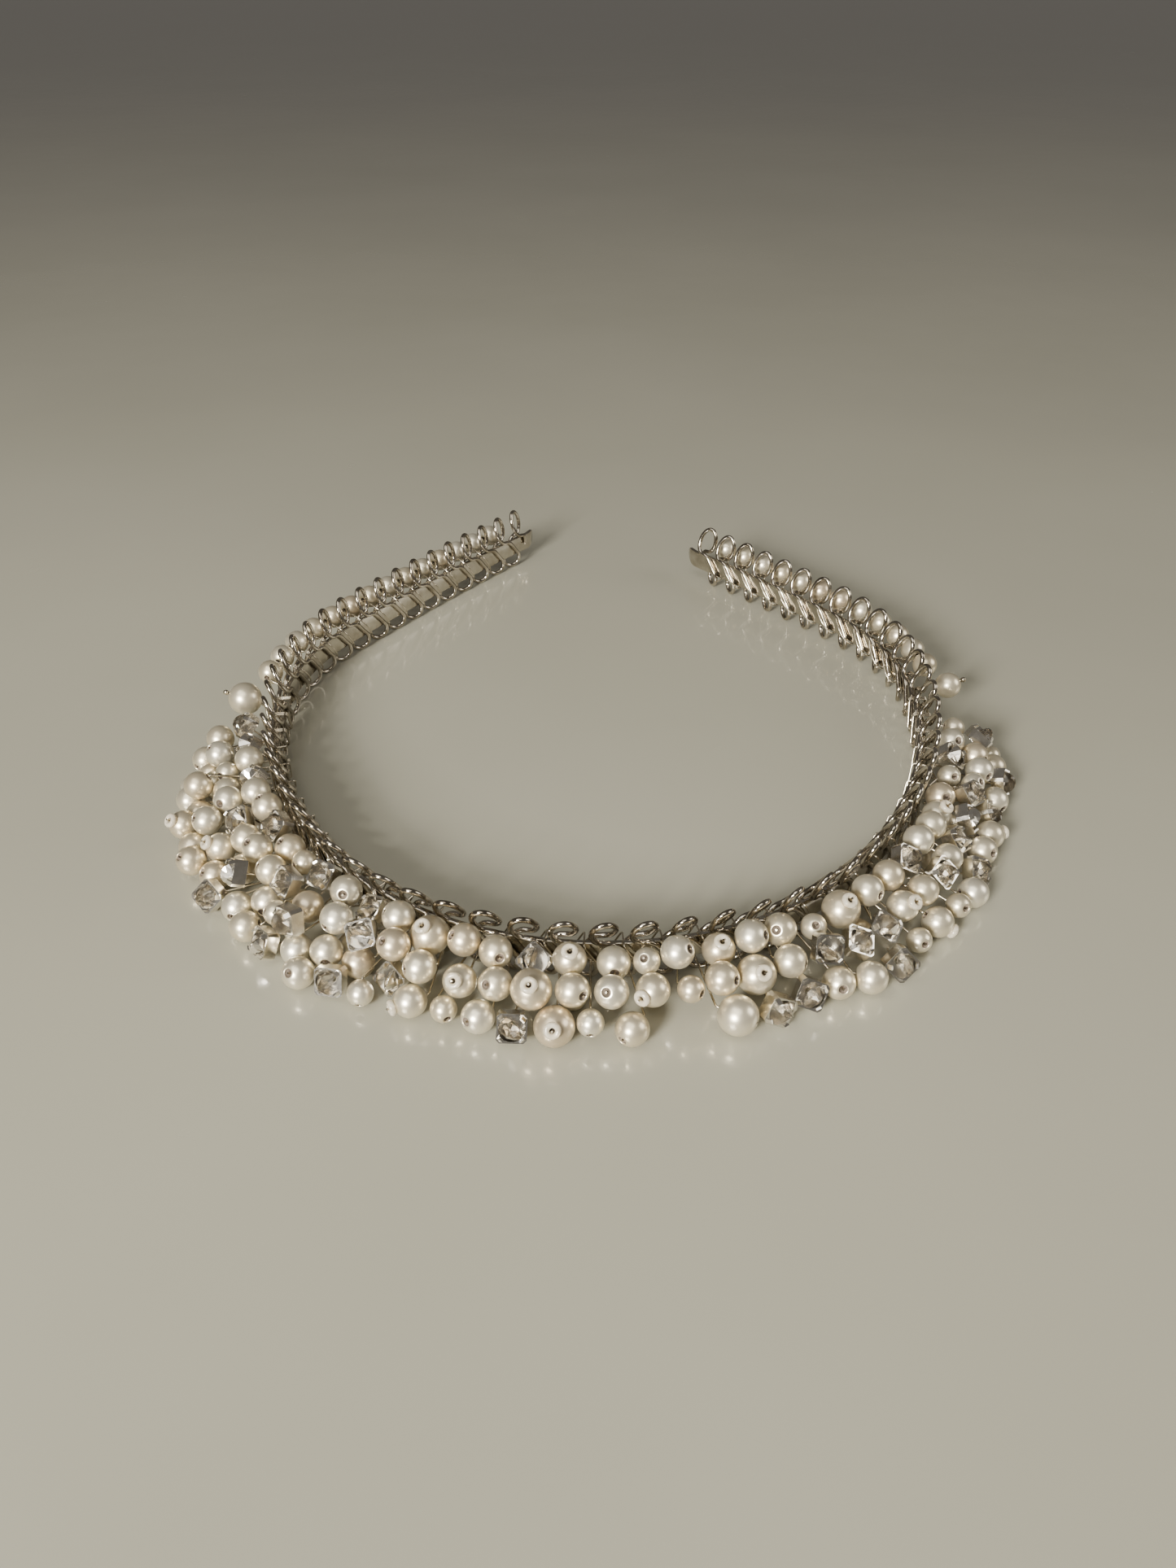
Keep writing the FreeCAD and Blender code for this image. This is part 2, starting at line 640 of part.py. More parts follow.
def cup():
    """A square four-claw cup that faces +Z, open under the stone, with a hole for its wire."""
    size = 2.0 * CUP_HALF
    body = Part.makeBox(size, size, CUP_RIM - CUP_FLOOR, Vector(-CUP_HALF, -CUP_HALF, CUP_FLOOR))
    upright = [edge for edge in body.Edges if abs(edge.tangentAt(edge.FirstParameter).z) > 0.9]
    body = body.makeChamfer(CUP_CHAMFER, upright)
    bore_floor = CUP_FLOOR + CUP_FLOOR_THICKNESS
    body = body.cut(Part.makeCylinder(CUP_BORE, size, Vector(0, 0, bore_floor)))
    body = body.cut(Part.makeCylinder(CUP_WIRE_HOLE, size, Vector(0, 0, CUP_FLOOR - 0.5 * size)))
    for corner in range(4):
        body = body.fuse(claw(corner))
    return body.removeSplitter()


def stone():
    """A round faceted crystal that faces +Z: eight-sided table, crown, girdle and pointed back."""
    def ring(radius, z, turn):
        return [Vector(radius * math.cos(math.radians(turn + 45.0 * i)),
                       radius * math.sin(math.radians(turn + 45.0 * i)), z) for i in range(8)]
    table = ring(STONE_TABLE, STONE_TABLE_Z, 0.0)
    upper = ring(STONE_GIRDLE, STONE_GIRDLE_Z + STONE_GIRDLE_HALF, 22.5)
    lower = ring(STONE_GIRDLE, STONE_GIRDLE_Z - STONE_GIRDLE_HALF, 22.5)
    culet = Vector(0, 0, STONE_CULET_Z)
    outlines = [table]
    for i in range(8):
        j = (i + 1) % 8
        outlines.append([table[i], upper[i], table[j]])
        outlines.append([upper[i], upper[j], table[j]])
        outlines.append([upper[i], lower[i], lower[j], upper[j]])
        outlines.append([lower[i], culet, lower[j]])
    faces = [Part.Face(Part.makePolygon(outline + outline[:1])) for outline in outlines]
    solid = Part.makeSolid(Part.makeShell(faces))
    if solid.Volume < 0.0:
        solid.reverse()
    return solid


def set_at(shape, bead):
    """A copy of a setting or a stone at its bead's place, facing along its axis."""
    copy = shape.copy()
    copy.rotate(Vector(0, 0, 0), Vector(0, 0, 1), bead["spin"])
    return turn_to(copy, bead["centre"], bead["axis"])


# ---------------------------------------------------------------- end pearls
def end_pearl_centre(side):
    size = END_PEARLS[side]
    return place(size["s"], size["n"], size["z"])


def end_pearl_axis(side):
    s = END_PEARLS[side]["s"]
    return unit(outwards(s) + Vector(0, 0, 0.45))


def end_pearl(side):
    return drilled_ball(end_pearl_centre(side), END_PEARLS[side]["radius"], END_PEARL_HOLE, end_pearl_axis(side))


def end_stem(side):
    """The bent wire that carries an end pearl, with a nub that keeps the pearl on."""
    s, radius = END_PEARLS[side]["s"], END_PEARLS[side]["radius"]
    centre, axis = end_pearl_centre(side), end_pearl_axis(side)
    inward = -1.0 if side == "right" else 1.0
    root = place(s + inward * 4.0, STEM_ROOT_N + 0.2, 4.4)
    knee = place(s + inward * 1.6, STEM_ROOT_N + 0.5, 4.6)
    behind = centre - axis * (radius + 0.8)
    end = centre + axis * (radius + 0.25)
    nub = Part.makeSphere(END_NUB_RADIUS, end + axis * 0.3)
    return wire([root, knee, behind, end], END_STEM_RADIUS, 1.2).fuse(nub).removeSplitter()


# ---------------------------------------------------------------- build
def build_band():
    left, right = flex_s("left"), flex_s("right")
    gap = 0.5 * FLEX_GAP
    left_arm = strip(tip_s("left"), left - gap).fuse(strip_tip("left"))
    right_arm = strip(right + gap, tip_s("right")).fuse(strip_tip("right"))
    export("band_front", [strip(left + gap, right - gap)])
    export("band_left_arm", [left_arm.removeSplitter()])
    export("band_right_arm", [right_arm.removeSplitter()])
    export("loop_wire_front", [looped_wire(FLEX_LOOP["left"], FLEX_LOOP["right"] - 1)])
    export("loop_wire_left_arm", [looped_wire(LAST_LOOP["left"], FLEX_LOOP["left"] - 1)])
    export("loop_wire_right_arm", [looped_wire(FLEX_LOOP["right"], LAST_LOOP["right"])])


def build_arms():
    for side in ("left", "right"):
        export("pearls_%s_arm" % side, arm_pearls(side))
        export("stringing_wire_%s_arm" % side, [stringing_wire(side)])
        export("tie_wire_%s_arm" % side, [tie_wire(side)])


def build_bindings():
    """One long binding between the two wraps, each of three parallel wires."""
    shifts = (-WRAP_SHIFT, 0.0, WRAP_SHIFT)
    export("binding_wire_front", [binding_wire(-15, 14)])
    export("wrap_wires_left", [binding_wire(-18, -16, shift) for shift in shifts])
    export("wrap_wires_right", [binding_wire(15, 17, shift) for shift in shifts])


def seed_bead(bead):
    """A short round-edged ring of glass whose underside is dished over its pearl."""
    round_over = Part.makeTorus(SEED_RADIUS - SEED_HALF_THICKNESS, SEED_HALF_THICKNESS)
    body = Part.makeCylinder(SEED_RADIUS - SEED_HALF_THICKNESS, 2.0 * SEED_HALF_THICKNESS,
                             Vector(0, 0, -SEED_HALF_THICKNESS))
    body = body.fuse(round_over).removeSplitter()
    body = body.cut(Part.makeCylinder(SEED_HOLE / 2.0, 2.0, Vector(0, 0, -1.0)))
    body = turn_to(body, seed_centre(bead), bead["axis"])
    return body.cut(Part.makeSphere(bead["radius"] + 0.03, bead["centre"]))


def seed_centre(bead):
    return bead["centre"] + bead["axis"] * (bead["radius"] + SEED_HALF_THICKNESS - SEED_SINK)


def build_cluster():
    beads = lay_out_beads()
    settle(beads)
    run_stems(beads)
    cup_shape = cup()
    stone_shape = stone()
    nodes = {}
    for bead in beads:
        row, kind, radius = bead["row"], bead["kind"], bead["radius"]
        bead["spin"] = random.uniform(0.0, 90.0)
        if kind == "c":
            nodes.setdefault("claw_cups_%s_row" % row, []).append(set_at(cup_shape, bead))
            nodes.setdefault("crystals_%s_row" % row, []).append(set_at(stone_shape, bead))
            head = CUP_FLOOR - 0.02
        else:
            pearl = drilled_ball(bead["centre"], radius, PEARL_HOLE[kind], bead["axis"])
            nodes.setdefault("pearls_%dmm_%s_row" % (2 * radius, row), []).append(pearl)
            head = radius - 0.1
            if kind in STOPPERED and clear_ball(seed_centre(bead), SEED_RADIUS, bead, beads):
                nodes.setdefault("seed_beads", []).append(seed_bead(bead))
                head = radius + 2.0 * SEED_HALF_THICKNESS
        nodes.setdefault("stems_%s_row" % row, []).append(stem_solid(bead, head))
    for node, solids in nodes.items():
        export(node, solids)


def build_end_pearls():
    for side in ("left", "right"):
        export("end_pearl_%s" % side, [end_pearl(side)])
        export("end_pearl_stem_%s" % side, [end_stem(side)])


os.makedirs("parts", exist_ok=True)
build_band()
build_arms()
build_bindings()
build_cluster()
build_end_pearls()
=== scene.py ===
"""Looks of the bridal tiara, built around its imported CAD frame.

Everything is in metres in the frame's own axes: +Z up, the beaded front towards -Y, the open
back towards +Y.  Places on the band are (s, n, z): s along the strip from the middle of the
front, positive towards +X, n outwards from the middle of the strip, and z up.
"""
import math
import random

import bmesh
import bpy
from mathutils import Matrix, Vector


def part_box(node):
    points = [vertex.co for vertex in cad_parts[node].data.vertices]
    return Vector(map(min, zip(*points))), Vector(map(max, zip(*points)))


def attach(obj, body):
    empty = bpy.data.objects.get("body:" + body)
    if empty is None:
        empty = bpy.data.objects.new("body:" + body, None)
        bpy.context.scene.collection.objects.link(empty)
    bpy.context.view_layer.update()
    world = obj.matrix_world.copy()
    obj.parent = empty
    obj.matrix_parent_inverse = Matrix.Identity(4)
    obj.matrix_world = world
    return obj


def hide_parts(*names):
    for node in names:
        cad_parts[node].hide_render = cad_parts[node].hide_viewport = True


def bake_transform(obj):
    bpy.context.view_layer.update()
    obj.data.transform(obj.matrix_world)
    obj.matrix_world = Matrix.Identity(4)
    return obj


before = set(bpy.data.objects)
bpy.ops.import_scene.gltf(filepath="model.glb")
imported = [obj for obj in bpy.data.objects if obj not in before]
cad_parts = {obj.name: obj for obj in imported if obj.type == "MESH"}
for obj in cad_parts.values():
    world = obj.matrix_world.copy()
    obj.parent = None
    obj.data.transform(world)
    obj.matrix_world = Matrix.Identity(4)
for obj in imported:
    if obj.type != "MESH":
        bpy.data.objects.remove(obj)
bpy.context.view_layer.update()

RANDOM_SEED = 5
random.seed(RANDOM_SEED)
MM = 0.001

# ---------------------------------------------------------------- driving dimensions, metres
FRONT_DEPTH = 71.0 * MM
# The band's course on each side, from the middle of the front: arcs as (radius, degrees turned).
COURSE = {"left": ((56.0 * MM, 50.0), (79.0 * MM, 38.0), (50.0 * MM, 36.0), (600.0 * MM, 10.0)),
          "right": ((56.0 * MM, 50.0), (79.0 * MM, 43.0), (50.0 * MM, 36.0), (600.0 * MM, 10.0))}
STRIP_THICKNESS = 0.8 * MM
TIP_THINNING = 0.35                      # share of its thickness that the tip loses at its end
STRIP_BOTTOM = 3.0 * MM
STRIP_TOP = 7.0 * MM
STRIP_MIDDLE = 0.5 * (STRIP_BOTTOM + STRIP_TOP)
STRIP_EDGE_RADIUS = 0.18 * MM
TIP_RUN = 2.4 * MM
TIP_CURL_RADIUS = 6.0 * MM
TIP_CURL_TURN = math.radians(34.0)
TIP_LIFT = 0.8 * MM
# How the tip narrows: (share of its length, half its height).
TIP_SHAPE = ((0.0, 2.0 * MM), (0.3, 1.96 * MM), (0.55, 1.8 * MM), (0.75, 1.5 * MM), (0.9, 1.05 * MM),
             (1.0, 0.5 * MM))

LOOP_PITCH = 5.72 * MM
LAST_LOOP = {"left": -33, "right": 31}
LOOP_WIRE_RADIUS = 0.44 * MM
LOOP_WIRE_OFFSET = 0.9 * MM
TOP_RUN_Z = STRIP_TOP + LOOP_WIRE_RADIUS
UPPER_RING = (1.75 * MM, 2.7 * MM)       # half width, half height
LOWER_RING = (1.8 * MM, 2.0 * MM)
UPPER_RING_LEAN = 17.0
FRONT_RING_LEAN = 28.0
LOWER_RING_TWIST = 1.6
RING_CORNERS = 8
CLUSTER_END = 92.0 * MM

ARM_PEARL_N = 4.3 * MM
ARM_PEARL_Z = 8.0 * MM
ARM_PEARL_LOOPS = {"left": [float(loop) for loop in range(-32, -18)],
                   "right": [loop + 0.5 for loop in range(19, 31)]}
STRINGING_END_N = 2.05 * MM
STRINGING_END_DROP = 0.8 * MM
STRINGING_END_SHIFT = 0.2 * MM
FINE_WIRE_RADIUS = 0.15 * MM
FINE_WIRE_N = 1.66 * MM
FINE_WIRE_TOP = 7.55 * MM
FINE_WIRE_BOTTOM = 2.5 * MM
TIE_THROUGH_RING_Z = 8.15 * MM
TIE_HOOK = Vector((0.2, 0.45, 0.5)) * MM

# The small stopper beads.
SEED_RADIUS = 1.25 * MM
SEED_HALF_THICKNESS = 0.5 * MM
SEED_HOLE_RADIUS = 0.35 * MM
SEED_SINK = 0.2 * MM

STONE_TABLE = (1.08 * MM, 1.1 * MM)      # radius, height above the stone's own middle
STONE_STAR = (1.5 * MM, 0.84 * MM)
STONE_GIRDLE = 1.88 * MM
STONE_GIRDLE_Z = (0.34 * MM, 0.46 * MM)  # bottom, top
STONE_BACK = (1.2 * MM, -0.2 * MM)
STONE_CULET_Z = -1.0 * MM
CUP_BEVEL = 0.07 * MM


# ---------------------------------------------------------------- the band's course
def outward_of(heading):
    return Vector((math.sin(heading), -math.cos(heading), 0))


def course_arcs(side):
    """The arcs of one side, as (s, heading, centre, radius) where each begins, seen to the right."""
    arcs = []
    s, heading, spot = 0.0, 0.0, Vector((0, -FRONT_DEPTH, 0))
    for radius, degrees in COURSE[side]:
        centre = spot - outward_of(heading) * radius
        arcs.append((s, heading, centre, radius))
        s += radius * math.radians(degrees)
        heading += math.radians(degrees)
        spot = centre + outward_of(heading) * radius
    return arcs


COURSE_ARCS = {side: course_arcs(side) for side in COURSE}
strip_low, strip_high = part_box("band_front")
WIDEST = COURSE_ARCS["right"][1][2].x + COURSE_ARCS["right"][1][3]
OVAL_X = strip_high[0] - 0.5 * STRIP_THICKNESS - WIDEST
OVAL_Y = strip_low[1] + FRONT_DEPTH + 0.5 * STRIP_THICKNESS


def arc_at(s):
    """Centre, radius and heading (0 at the front) of the band's arc at s."""
    sign = 1.0 if s >= 0.0 else -1.0
    side = "right" if s >= 0.0 else "left"
    start, heading, centre, radius = [arc for arc in COURSE_ARCS[side] if arc[0] <= abs(s)][-1]
    heading += (abs(s) - start) / radius
    return Vector((OVAL_X + sign * centre.x, OVAL_Y + centre.y, 0)), radius, sign * heading


def outwards(s):
    return outward_of(arc_at(s)[2])


def along(s):
    heading = arc_at(s)[2]
    return Vector((math.cos(heading), math.sin(heading), 0))


def place(s, n, z):
    centre, radius, _ = arc_at(s)
    return centre + outwards(s) * (radius + n) + Vector((0, 0, z))


def tip_s(side):
    sign = 1.0 if side == "right" else -1.0
    return LAST_LOOP[side] * LOOP_PITCH + sign * TIP_RUN


# ---------------------------------------------------------------- materials
class Shader:
    """A Principled material whose nodes are added one by one."""

    def __init__(self, name, **values):
        self.material = bpy.data.materials.new(name)
        self.material.use_nodes = True
        self.tree = self.material.node_tree
        self.principled = self.tree.nodes["Principled BSDF"]
        for socket, value in values.items():
            self.principled.inputs[socket.replace("_", " ")].default_value = value

    def node(self, kind, **values):
        made = self.tree.nodes.new(kind)
        for socket, value in values.items():
            made.inputs[socket.replace("_", " ")].default_value = value
        return made

    def link(self, source, target):
        self.tree.links.new(source, target)

    def noise(self, scale, detail=3.0, roughness=0.5):
        """Noise through the object's own space, scale in features to a metre."""
        place_in = self.node("ShaderNodeTexCoord")
        noise = self.node("ShaderNodeTexNoise", Scale=scale, Detail=detail, Roughness=roughness)
        self.link(place_in.outputs["Object"], noise.inputs["Vector"])
        return noise.outputs["Fac"]

    def ramp(self, source, stops):
        """Colours for source: stops are (position, colour)."""
        ramp = self.node("ShaderNodeValToRGB")
        elements = ramp.color_ramp.elements
        while len(elements) < len(stops):
            elements.new(0.5)
        for element, (position, colour) in zip(elements, stops):
            element.position = position
            element.color = (*colour, 1.0)
        self.link(source, ramp.inputs["Fac"])
        return ramp.outputs["Color"]

    def spread(self, source, low, high):
        """source, from 0 to 1, spread from low to high."""
        spread = self.node("ShaderNodeMapRange", To_Min=low, To_Max=high)
        self.link(source, spread.inputs["Value"])
        return spread.outputs["Result"]

    def bump(self, source, distance, strength=1.0):
        bump = self.node("ShaderNodeBump", Strength=strength, Distance=distance)
        self.link(source, bump.inputs["Height"])
        self.link(bump.outputs["Normal"], self.principled.inputs["Normal"])


# Sizes of the surfaces' patterns, in features to a metre, and heights of their relief.
TARNISH_SCALE = 260.0
MARKS_SCALE = 1900.0
MARKS_HEIGHT = 0.012 * MM
CLOUD_SCALE = 420.0
NACRE_SCALE = 2600.0
NACRE_HEIGHT = 0.006 * MM
HOLE_MOTTLE_SCALE = 3200.0
TINT_SCALE = 500.0
FOIL_SCALE = 900.0
MILK_SCALE = 1300.0
MOTTLE_SCALE = 7.0
POLISH_SCALE = 60.0


def silver(name, bright, dull, roughness):
    """Polished silver plate with faint tarnish and fine handling marks."""
    shader = Shader(name, Metallic=1.0)
    tarnish = shader.noise(TARNISH_SCALE, 4.0, 0.6)
    shader.link(shader.ramp(tarnish, [(0.32, dull), (0.62, bright)]),
                shader.principled.inputs["Base Color"])
    marks = shader.noise(MARKS_SCALE, 5.0, 0.65)
    shader.link(shader.spread(marks, roughness * 0.55, roughness * 1.7),
                shader.principled.inputs["Roughness"])
    shader.bump(marks, MARKS_HEIGHT, 0.5)
    return shader.material


def pearl_coat():
    """Imitation pearl: an ivory lacquer with a soft lustre, its tone a little different on each bead."""
    shader = Shader("pearl_lacquer", Metallic=0.8, Coat_Weight=0.6, Coat_Roughness=0.12, Coat_IOR=1.5)
    tone = shader.node("ShaderNodeAttribute")
    tone.attribute_name = "tone"
    cloud = shader.noise(CLOUD_SCALE, 4.0, 0.55)
    mixed = shader.node("ShaderNodeMath")
    mixed.operation = "MULTIPLY_ADD"
    shader.link(cloud, mixed.inputs[0])
    mixed.inputs[1].default_value = 0.35
    shader.link(tone.outputs["Fac"], mixed.inputs[2])
    ivory = [(0.15, (0.74, 0.62, 0.44)), (0.45, (0.80, 0.71, 0.52)), (0.8, (0.86, 0.79, 0.62)),
             (1.0, (0.90, 0.85, 0.70))]
    shader.link(shader.ramp(mixed.outputs["Value"], ivory), shader.principled.inputs["Base Color"])
    shader.link(shader.spread(cloud, 0.27, 0.38), shader.principled.inputs["Roughness"])
    shader.bump(shader.noise(NACRE_SCALE, 3.0, 0.5), NACRE_HEIGHT, 0.4)
    return shader.material


def painted_hole_shade():
    """The wall of a drilled hole, painted dark brown as painted shade inside the hole, with a faint random
    mottle.
    """
    shader = Shader("painted_hole_shade", Roughness=0.8)
    hole_mottle = shader.noise(HOLE_MOTTLE_SCALE, 3.0)
    # dark brown colours: painted shade inside the hole
    shader.link(shader.ramp(hole_mottle, [(0.3, (0.12, 0.095, 0.075)), (0.7, (0.26, 0.21, 0.165))]),
                shader.principled.inputs["Base Color"])
    return shader.material


def crystal_glass():
    """The clear lead glass of a stone, with faint polish marks."""
    shader = Shader("crystal_glass", IOR=1.52, Transmission_Weight=1.0, Roughness=0.02)
    tint = shader.noise(TINT_SCALE, 2.0)
    shader.link(shader.ramp(tint, [(0.3, (0.96, 0.92, 0.85)), (0.7, (1.0, 0.98, 0.94))]),
                shader.principled.inputs["Base Color"])
    return shader.material


def crystal_foil():
    """The mirror foil on the back of a stone."""
    shader = Shader("crystal_foil", Metallic=1.0, Roughness=0.2)
    patches = shader.noise(FOIL_SCALE, 3.0)
    shader.link(shader.ramp(patches, [(0.3, (0.86, 0.80, 0.70)), (0.65, (0.98, 0.95, 0.89))]),
                shader.principled.inputs["Base Color"])
    return shader.material


def seed_glass():
    """Milky cream glass of the small stopper beads."""
    shader = Shader("seed_glass", IOR=1.5, Transmission_Weight=0.35, Coat_Weight=0.5, Coat_Roughness=0.04)
    milk = shader.noise(MILK_SCALE, 3.0)
    shader.link(shader.ramp(milk, [(0.3, (0.78, 0.69, 0.53)), (0.7, (0.90, 0.84, 0.70))]),
                shader.principled.inputs["Base Color"])
    shader.link(shader.spread(milk, 0.08, 0.22), shader.principled.inputs["Roughness"])
    return shader.material


def table_top():
    """Glossy greige lacquer with a very faint mottle."""
    shader = Shader("table_top", Coat_Weight=0.9, Coat_Roughness=0.07)
    mottle = shader.noise(MOTTLE_SCALE, 4.0, 0.5)
    shader.link(shader.ramp(mottle, [(0.3, (0.34, 0.33, 0.262)), (0.7, (0.375, 0.363, 0.292))]),
                shader.principled.inputs["Base Color"])
    shader.link(shader.spread(shader.noise(POLISH_SCALE, 4.0), 0.2, 0.3),
                shader.principled.inputs["Roughness"])
    return shader.material


SILVER_STRIP = silver("polished_strip", (0.66, 0.62, 0.54), (0.40, 0.36, 0.29), 0.1)
SILVER_LOOPS = silver("polished_loop_wire", (0.58, 0.53, 0.45), (0.30, 0.26, 0.20), 0.12)
SILVER_FINE = silver("fine_wire", (0.72, 0.66, 0.54), (0.42, 0.37, 0.28), 0.18)
SILVER_CUP = silver("claw_cup", (0.95, 0.92, 0.85), (0.76, 0.71, 0.62), 0.16)
PEARL = pearl_coat()
# the dark brown painted shade inside the pearls' holes
HOLE_SHADE = painted_hole_shade()
GLASS = crystal_glass()
FOIL = crystal_foil()
SEED = seed_glass()


# ---------------------------------------------------------------- mesh helpers
def piece_from(name, verts, faces, materials, face_slots=None, smooth=True):
    mesh = bpy.data.meshes.new(name)
    mesh.from_pydata([tuple(v) for v in verts], [], faces)
    for material in materials:
        mesh.materials.append(material)
    if face_slots:
        mesh.polygons.foreach_set("material_index", face_slots)
    if smooth:
        mesh.polygons.foreach_set("use_smooth", [True] * len(mesh.polygons))
    mesh.validate()
    mesh.update()
    piece = bpy.data.objects.new(name, mesh)
    bpy.context.scene.collection.objects.link(piece)
    return piece


LOOP_WIRE_SIDES = 5                      # points to a quarter turn, and steps from point to point
LOOP_WIRE_STEPS = 5
FINE_WIRE_SIDES = 3
FINE_WIRE_STEPS = 4


def wire_piece(name, routes, radius, material, sides, steps):
    """Round wires whose lines are smooth splines drawn towards each route's points."""
    curve = bpy.data.curves.new(name + "_line", "CURVE")
    curve.dimensions = "3D"
    curve.bevel_depth = radius
    curve.bevel_resolution = sides
    curve.use_fill_caps = True
    for route in routes:
        spline = curve.splines.new("NURBS")
        spline.points.add(len(route) - 1)
        for point, spot in zip(spline.points, route):
            point.co = (*spot, 1.0)
        spline.order_u = 3
        spline.use_endpoint_u = True
        spline.resolution_u = steps
    holder = bpy.data.objects.new(name + "_line", curve)
    bpy.context.scene.collection.objects.link(holder)
    mesh = bpy.data.meshes.new_from_object(holder)
    bpy.data.objects.remove(holder)
    mesh.name = name
    mesh.materials.clear()
    mesh.materials.append(material)
    mesh.polygons.foreach_set("use_smooth", [True] * len(mesh.polygons))
    piece = bpy.data.objects.new(name, mesh)
    bpy.context.scene.collection.objects.link(piece)
    return piece


WELD_DISTANCE = 1.0e-7
THROUGH_RUN = 1.5                        # an edge longer than this many radii runs along the hole


def loose_parts(node):
    """The separate solids of a CAD node, each as (points, edges between them)."""
    work = bmesh.new()
    work.from_mesh(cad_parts[node].data)
    bmesh.ops.remove_doubles(work, verts=work.verts, dist=WELD_DISTANCE)
    seen = set()
    parts = []
    for start in work.verts:
        if start.index in seen:
            continue
        seen.add(start.index)
        stack, verts = [start], []
        while stack:
            vert = stack.pop()
            verts.append(vert)
            for edge in vert.link_edges:
                other = edge.other_vert(vert)
                if other.index not in seen:
                    seen.add(other.index)
                    stack.append(other)
        edges = {edge for vert in verts for edge in vert.link_edges}
        runs = [edge.verts[1].co - edge.verts[0].co for edge in edges]
        parts.append(([vert.co.copy() for vert in verts], runs))
    work.free()
    return parts


def middle_of(points):
    low = [min(p[i] for p in points) for i in range(3)]
    high = [max(p[i] for p in points) for i in range(3)]
    return Vector([(a + b) / 2.0 for a, b in zip(low, high)])


def balls(node):
    """Centre, radius, hole radius and hole axis of each drilled ball of a CAD node."""
    found = []
    for points, runs in loose_parts(node):
        centre = middle_of(points)
        radius = max((p - centre).length for p in points)
        through = [run for run in runs if run.length > THROUGH_RUN * radius]
        axis = Vector((0, 0, 0))
        for run in through:
            axis += run if run.dot(through[0]) > 0.0 else -run
        axis.normalize()
        centre_to_rim = max(abs((p - centre).dot(axis)) for p in points)
        hole = math.sqrt(max(radius ** 2 - centre_to_rim ** 2, 0.0))
        found.append((centre, radius, hole, axis))
    return found


def turned(outline, sides):
    """Verts and faces of an outline of (radius, height) points turned about Z, closed on itself."""
    verts = []
    for radius, height in outline:
        for i in range(sides):
            angle = 2.0 * math.pi * i / sides
            verts.append(Vector((radius * math.cos(angle), radius * math.sin(angle), height)))
    faces = []
    count = len(outline)
    for j in range(count):
        for i in range(sides):
            k = (i + 1) % sides
            m = (j + 1) % count
            faces.append((j * sides + i, j * sides + k, m * sides + k, m * sides + i))
    return verts, faces


def facing(axis):
    return axis.to_track_quat("Z", "Y").to_matrix().to_4x4()


# ---------------------------------------------------------------- pearls
PEARL_SIDES = 32
PEARL_BANDS = 22
HOLE_LIP = 0.12 * MM
HOLE_DEPTH = 0.3 * MM                    # of the wide mouth, before the hole narrows to its wire
HOLE_NECK = 0.2 * MM
HOLE_FACES = 5                           # rings of faces inside a hole, which get the painted shade of the hole
OUT_OF_ROUND = 0.985                     # of its diameter, at the least, across the hole
TONE_SPREAD = (0.7, 0.75)                # power and reach of the random tones


def pearl_outline(radius, hole):
    """Half section of a drilled pearl: round outside, softened lip, and a countersunk hole."""
    lip = math.asin(min(0.95, (hole + HOLE_LIP) / radius))
    outside = []
    for band in range(PEARL_BANDS + 1):
        angle = -0.5 * math.pi + lip + (math.pi - 2.0 * lip) * band / PEARL_BANDS
        outside.append((radius * math.cos(angle), radius * math.sin(angle)))
    rim = math.sqrt(radius ** 2 - (hole + HOLE_LIP) ** 2)
    edge = rim - 1.1 * HOLE_LIP
    wall = [(hole + 0.3 * HOLE_LIP, rim - 0.25 * HOLE_LIP), (hole, edge), (0.94 * hole, edge - HOLE_DEPTH),
            (HOLE_NECK, edge - 1.3 * HOLE_DEPTH)]
    inner = [(r, -z) for r, z in reversed(wall)]
    return outside + wall + inner


def pearl_piece(name, node, body):
    """Every pearl of a CAD node, as turned beads that are each a little out of round."""
    verts, faces, slots, tones = [], [], [], []
    tone_power, tone_reach = TONE_SPREAD
    for centre, radius, hole, axis in balls(node):
        outline = pearl_outline(radius, hole)
        own_verts, own_faces = turned(outline, PEARL_SIDES)
        base = len(verts)
        across = (random.uniform(OUT_OF_ROUND, 1.0), random.uniform(OUT_OF_ROUND, 1.0))
        squeeze = Matrix.Diagonal((*across, 1.0, 1.0))
        move = Matrix.Translation(centre) @ facing(axis) @ squeeze
        verts += [move @ v for v in own_verts]
        faces += [tuple(base + i for i in face) for face in own_faces]
        first_inside = PEARL_BANDS + 2
        for index in range(len(own_faces)):
            # faces inside the hole take the second material, the painted shade of the hole
            slots.append(1 if 0 <= index // PEARL_SIDES - first_inside < HOLE_FACES else 0)
        tones += [random.random() ** tone_power * tone_reach] * len(own_verts)
    piece = piece_from(name, verts, faces, [PEARL, HOLE_SHADE], slots)
    tone = piece.data.attributes.new("tone", "FLOAT", "POINT")
    tone.data.foreach_set("value", tones)
    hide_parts(node)
    if body:
        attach(piece, body)
    return piece


